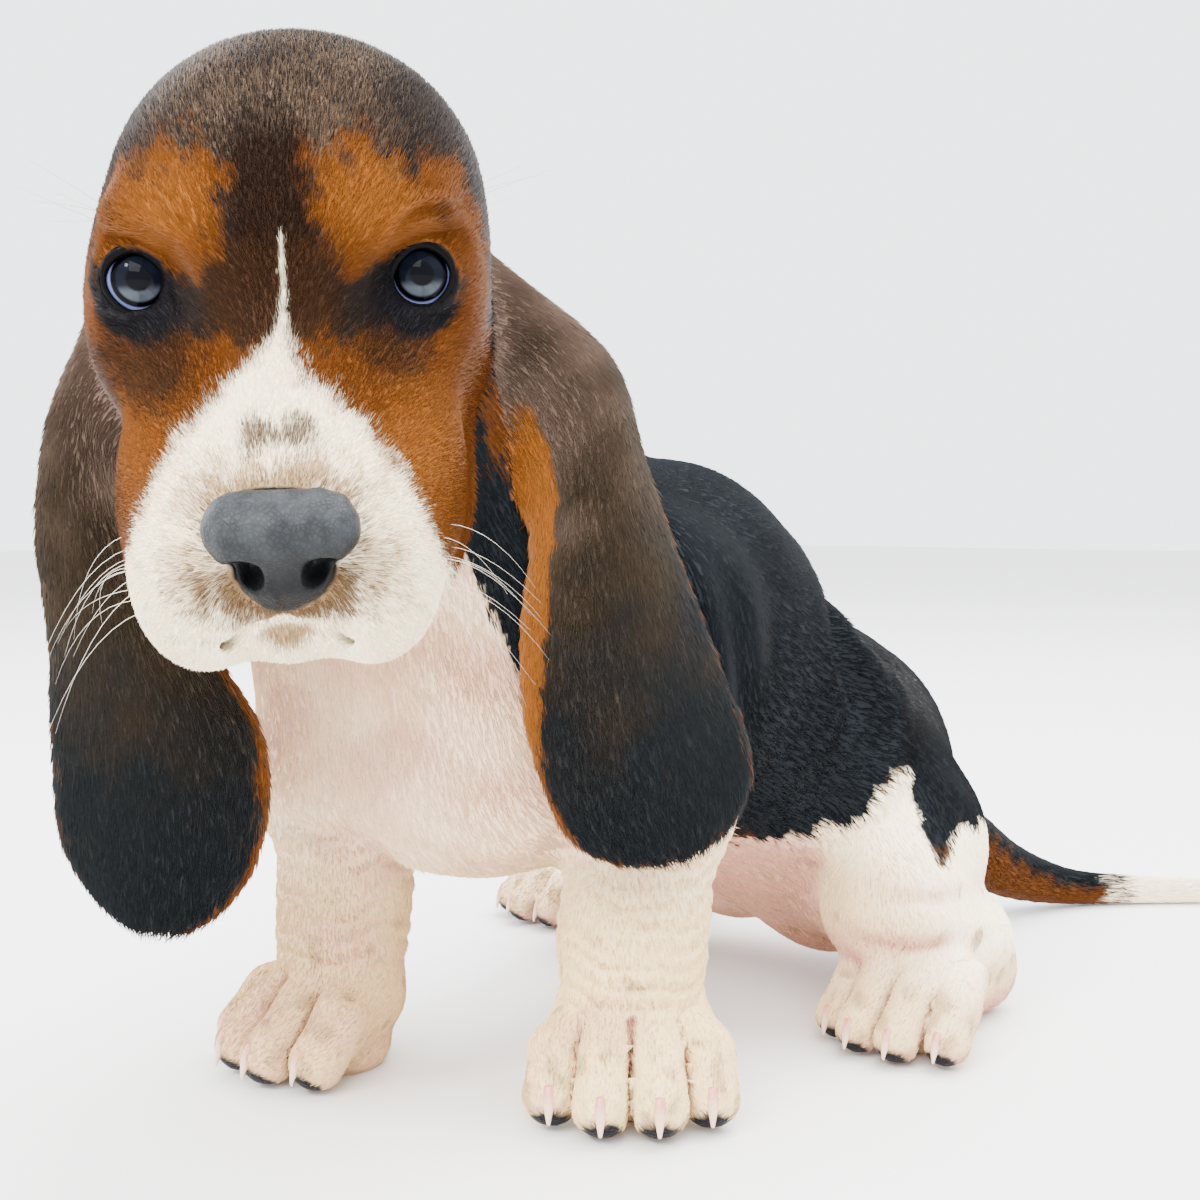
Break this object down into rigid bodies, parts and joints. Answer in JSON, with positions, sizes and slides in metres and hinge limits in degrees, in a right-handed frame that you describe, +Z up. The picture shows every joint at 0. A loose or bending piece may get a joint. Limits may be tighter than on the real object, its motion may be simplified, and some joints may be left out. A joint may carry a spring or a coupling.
{
  "type": "basset hound puppy",
  "caption": "Still, life-size tricolour basset hound puppy of about eight weeks, half sitting on its rump with long hanging ears, its head turned and lowered to its left.",
  "frame": {"origin": "centre of the bounding box in plan, at floor level, where the paws, rump and tail rest", "axes": "+X to the puppy's own left, +Y towards its rump and tail, +Z up; the muzzle points between +X and -Y"},
  "size_m": [0.2216, 0.431, 0.2577],
  "materials": {
    "coat_black": "short black coat of the saddle and tail",
    "coat_brown": "short dark brown and tan coat of the head",
    "coat_ear": "short velvety dark brown coat of the ears",
    "coat_white": "short cream white coat of the chest, neck and legs",
    "nose_leather": "moist slate grey nose leather",
    "eye": "wet eye with a blue grey iris",
    "claw": "pinkish white claw horn"
  },
  "bodies": {
    "root": {"head": "coat_brown", "nose": "nose_leather", "neck": "coat_white", "torso": "coat_black", "tail": "coat_black", "eye_left": "eye", "ear_left": "coat_ear", "foreleg_left": "coat_white", "forepaw_left": "coat_white", "hindleg_left": "coat_white", "hindpaw_left": "coat_white", "foreclaw_left_1": "claw", "hindclaw_left_1": "claw", "foreclaw_left_2": "claw", "hindclaw_left_2": "claw", "foreclaw_left_3": "claw", "hindclaw_left_3": "claw", "foreclaw_left_4": "claw", "hindclaw_left_4": "claw", "eye_right": "eye", "ear_right": "coat_ear", "foreleg_right": "coat_white", "forepaw_right": "coat_white", "hindleg_right": "coat_white", "hindpaw_right": "coat_white", "foreclaw_right_1": "claw", "hindclaw_right_1": "claw", "foreclaw_right_2": "claw", "hindclaw_right_2": "claw", "foreclaw_right_3": "claw", "hindclaw_right_3": "claw", "foreclaw_right_4": "claw", "hindclaw_right_4": "claw"}
  },
  "joints": []
}
